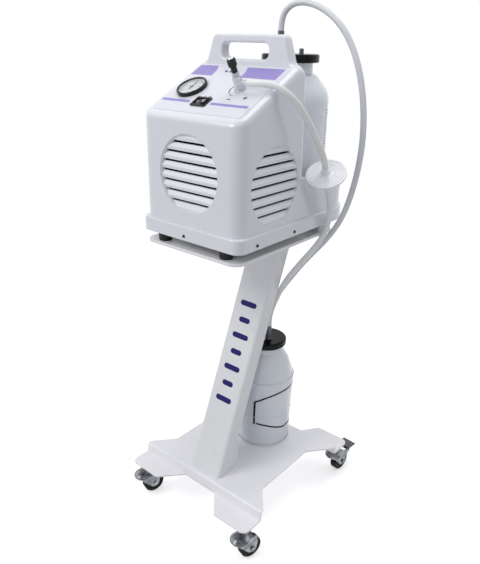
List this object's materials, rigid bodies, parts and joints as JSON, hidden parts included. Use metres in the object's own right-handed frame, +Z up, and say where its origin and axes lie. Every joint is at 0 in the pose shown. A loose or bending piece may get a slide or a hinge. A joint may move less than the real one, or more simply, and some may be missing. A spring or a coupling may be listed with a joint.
{
  "type": "suction pump",
  "caption": "Mobile medical suction pump: louvred casing with carrying handle on a leaning column stand with casters, collection jars, disc filter and hoses.",
  "frame": {"origin": "bottom centre of the bounding box of everything but the hoses and the filter hanging in them, on the floor", "axes": "+Z up, -Y towards the front of the pump where the controls are, +X to the right seen from the front"},
  "size_m": [0.3718, 0.4619, 1.1008],
  "materials": {
    "white_paint": "semi-gloss powder coat",
    "zinc": "bright zinc plate",
    "tread": "smooth black",
    "pedal_grey": "matte moulded",
    "shell": "satin moulded",
    "louvre": "satin moulded",
    "pan": "bent sheet",
    "foot_rubber": "matte",
    "screw_black": "black oxide",
    "overlay": "printed film with violet bands",
    "black_plastic": "gloss",
    "dial_white": "printed",
    "needle_black": "matte",
    "window": "clear",
    "acrylic": "clear machined plastic",
    "steel": "turned and polished",
    "cast": "cast",
    "jar_clear": "clear moulded plastic",
    "cap_black": "gloss moulded",
    "spout": "smooth moulded",
    "filter_white": "translucent moulded",
    "hose": "soft translucent"
  },
  "bodies": {
    "stand": {"base_plate": "white_paint", "column": "white_paint", "column_bolts": "zinc", "tray": "white_paint", "tray_bolts": "zinc", "caster_front_left_mount": "zinc", "caster_front_right_mount": "zinc", "caster_rear_left_mount": "zinc", "caster_rear_right_mount": "zinc", "casing": "shell", "louvre_front": "louvre", "louvre_right": "louvre", "louvre_left": "louvre", "chassis_pan": "pan", "rubber_feet": "foot_rubber", "casing_screws": "screw_black", "control_panel": "overlay", "gauge_case": "black_plastic", "gauge_dial": "dial_white", "gauge_window": "window", "switch_frame": "black_plastic", "regulator_body": "acrylic", "motor_case": "cast", "pump_head": "cast", "motor_mounts": "foot_rubber", "power_inlet": "black_plastic", "fuse_holder": "black_plastic", "upper_jar": "jar_clear", "upper_jar_cap": "cap_black", "upper_jar_stopper": "foot_rubber", "upper_jar_spouts": "spout", "lower_jar": "jar_clear", "lower_jar_cap": "cap_black", "lower_jar_spouts": "spout", "jar_clip": "white_paint", "filter_top": "filter_white", "filter_bottom": "filter_white", "hose_regulator_filter": "hose", "hose_filter_jar": "hose", "hose_jar_link": "hose"},
    "fork_front_left": {"caster_front_left_fork": "zinc", "caster_front_left_axle": "zinc"},
    "wheel_front_left": {"caster_front_left_wheel": "tread"},
    "fork_front_right": {"caster_front_right_fork": "zinc", "caster_front_right_axle": "zinc"},
    "wheel_front_right": {"caster_front_right_wheel": "tread"},
    "fork_rear_left": {"caster_rear_left_fork": "zinc", "caster_rear_left_axle": "zinc"},
    "wheel_rear_left": {"caster_rear_left_wheel": "tread"},
    "pedal_rear_left": {"caster_rear_left_pedal": "pedal_grey"},
    "fork_rear_right": {"caster_rear_right_fork": "zinc", "caster_rear_right_axle": "zinc"},
    "wheel_rear_right": {"caster_rear_right_wheel": "tread"},
    "pedal_rear_right": {"caster_rear_right_pedal": "pedal_grey"},
    "pointer": {"gauge_pointer": "needle_black"},
    "rocker": {"switch_rocker": "black_plastic"},
    "knob": {"regulator_knob": "black_plastic"},
    "rotor": {"motor_rotor": "steel", "motor_fan": "pedal_grey"}
  },
  "joints": [
    {"name": "swivel_front_left", "type": "hinge", "parent": "stand", "child": "fork_front_left", "pos_m": [-0.152, -0.2095, 0.053], "axis": [0, 0, 1], "continuous": true},
    {"name": "roll_front_left", "type": "hinge", "parent": "fork_front_left", "child": "wheel_front_left", "pos_m": [-0.14553, -0.18535, 0.025], "axis": [-0.9659, 0.2588, 0], "continuous": true},
    {"name": "swivel_front_right", "type": "hinge", "parent": "stand", "child": "fork_front_right", "pos_m": [0.152, -0.2095, 0.053], "axis": [0, 0, 1], "continuous": true},
    {"name": "roll_front_right", "type": "hinge", "parent": "fork_front_right", "child": "wheel_front_right", "pos_m": [0.15847, -0.18535, 0.025], "axis": [-0.9659, 0.2588, 0], "continuous": true},
    {"name": "swivel_rear_left", "type": "hinge", "parent": "stand", "child": "fork_rear_left", "pos_m": [-0.152, 0.1615, 0.053], "axis": [0, 0, 1], "continuous": true},
    {"name": "roll_rear_left", "type": "hinge", "parent": "fork_rear_left", "child": "wheel_rear_left", "pos_m": [-0.14982, 0.1864, 0.025], "axis": [-0.9962, 0.0872, 0], "continuous": true},
    {"name": "brake_rear_left", "type": "hinge", "parent": "fork_rear_left", "child": "pedal_rear_left", "pos_m": [-0.14799, 0.20733, 0.051], "axis": [-0.9962, 0.0872, 0], "range_deg": [0, 12]},
    {"name": "swivel_rear_right", "type": "hinge", "parent": "stand", "child": "fork_rear_right", "pos_m": [0.152, 0.1615, 0.053], "axis": [0, 0, 1], "continuous": true},
    {"name": "roll_rear_right", "type": "hinge", "parent": "fork_rear_right", "child": "wheel_rear_right", "pos_m": [0.15418, 0.1864, 0.025], "axis": [-0.9962, 0.0872, 0], "continuous": true},
    {"name": "brake_rear_right", "type": "hinge", "parent": "fork_rear_right", "child": "pedal_rear_right", "pos_m": [0.15601, 0.20733, 0.051], "axis": [-0.9962, 0.0872, 0], "range_deg": [0, 12]},
    {"name": "gauge_needle", "type": "hinge", "parent": "stand", "child": "pointer", "pos_m": [-0.063, -0.11824, 0.94325], "axis": [0, -0.4726, 0.8813], "range_deg": [-135, 135]},
    {"name": "switch_rock", "type": "hinge", "parent": "stand", "child": "rocker", "pos_m": [-0.008, -0.15049, 0.92086], "axis": [0, 0.8813, 0.4726], "range_deg": [0, 10]},
    {"name": "regulator_turn", "type": "hinge", "parent": "stand", "child": "knob", "pos_m": [0.047, -0.13229, 0.98848], "axis": [0, -0.4726, 0.8813], "range_deg": [0, 270]},
    {"name": "motor_spin", "type": "hinge", "parent": "stand", "child": "rotor", "pos_m": [0, -0.0955, 0.75], "axis": [1, 0, 0], "continuous": true}
  ]
}
